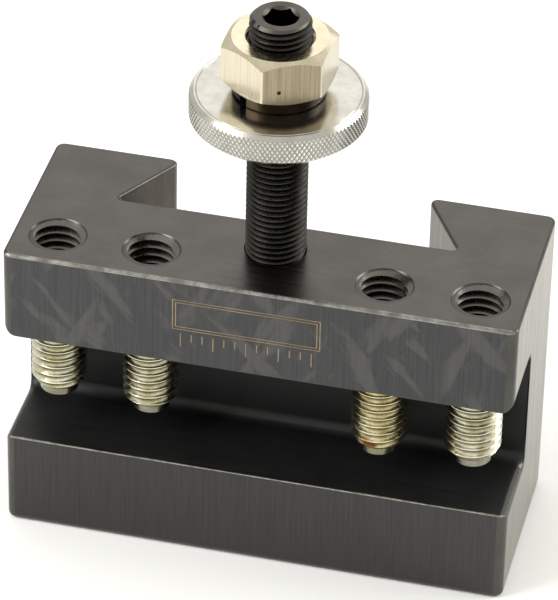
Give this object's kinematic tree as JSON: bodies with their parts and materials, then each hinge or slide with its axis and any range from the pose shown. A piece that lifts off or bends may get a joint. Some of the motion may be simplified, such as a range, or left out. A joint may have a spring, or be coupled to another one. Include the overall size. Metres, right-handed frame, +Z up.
{
  "type": "quick change tool holder",
  "caption": "Turning and facing tool holder for a quick change tool post: slotted steel block with a rear dovetail, clamp screws and a height stud with its nuts.",
  "frame": {"origin": "centre of the holder body's bottom face", "axes": "+X along the tool, -Y towards the tool slot's open side, +Y towards the dovetail, +Z up along the height stud"},
  "size_m": [0.1016, 0.0421, 0.1182],
  "materials": {
    "black_oxide_steel": "oiled black oxide, ground faces",
    "zinc_plated_steel": "zinc plated, rolled thread",
    "black_stud_steel": "black oxide, fine thread",
    "bright_nickel_plate": "bright nickel plate, diamond knurl",
    "dark_spring_steel": "blackened spring steel",
    "warm_nickel_plate": "satin nickel plate"
  },
  "bodies": {
    "holder": {"holder_body": "black_oxide_steel", "height_stud": "black_stud_steel"},
    "clamp_screw_1": {"clamp_screw_1": "zinc_plated_steel"},
    "clamp_screw_2": {"clamp_screw_2": "zinc_plated_steel"},
    "clamp_screw_3": {"clamp_screw_3": "zinc_plated_steel"},
    "clamp_screw_4": {"clamp_screw_4": "zinc_plated_steel"},
    "lock_washer": {"lock_washer": "dark_spring_steel"},
    "knurled_nut": {"knurled_nut": "bright_nickel_plate"},
    "hex_lock_nut": {"hex_lock_nut": "warm_nickel_plate"}
  },
  "joints": [
    {"name": "clamp_screw_1_travel", "type": "slide", "parent": "holder", "child": "clamp_screw_1", "axis": [0, 0, 1], "range_m": [-0.00726, 0.01633]},
    {"name": "clamp_screw_2_travel", "type": "slide", "parent": "holder", "child": "clamp_screw_2", "axis": [0, 0, 1], "range_m": [-0.00726, 0.01633]},
    {"name": "clamp_screw_3_travel", "type": "slide", "parent": "holder", "child": "clamp_screw_3", "axis": [0, 0, 1], "range_m": [-0.00544, 0.01814]},
    {"name": "clamp_screw_4_travel", "type": "slide", "parent": "holder", "child": "clamp_screw_4", "axis": [0, 0, 1], "range_m": [-0.00544, 0.01633]},
    {"name": "height_travel", "type": "slide", "parent": "holder", "child": "lock_washer", "axis": [0, 0, 1], "range_m": [-0.02876, 0.00126]},
    {"name": "knurled_nut_turn", "type": "hinge", "parent": "lock_washer", "child": "knurled_nut", "pos_m": [0, -0.0047, 0.0957], "axis": [0, 0, 1], "range_deg": [-8280, 360]},
    {"name": "lock_nut_loosen", "type": "slide", "parent": "lock_washer", "child": "hex_lock_nut", "axis": [0, 0, 1], "range_m": [0, 0.0025]}
  ],
  "couplings": [
    {"joint": "height_travel", "follows": "knurled_nut_turn", "m_per_rad": 0.00019894}
  ]
}
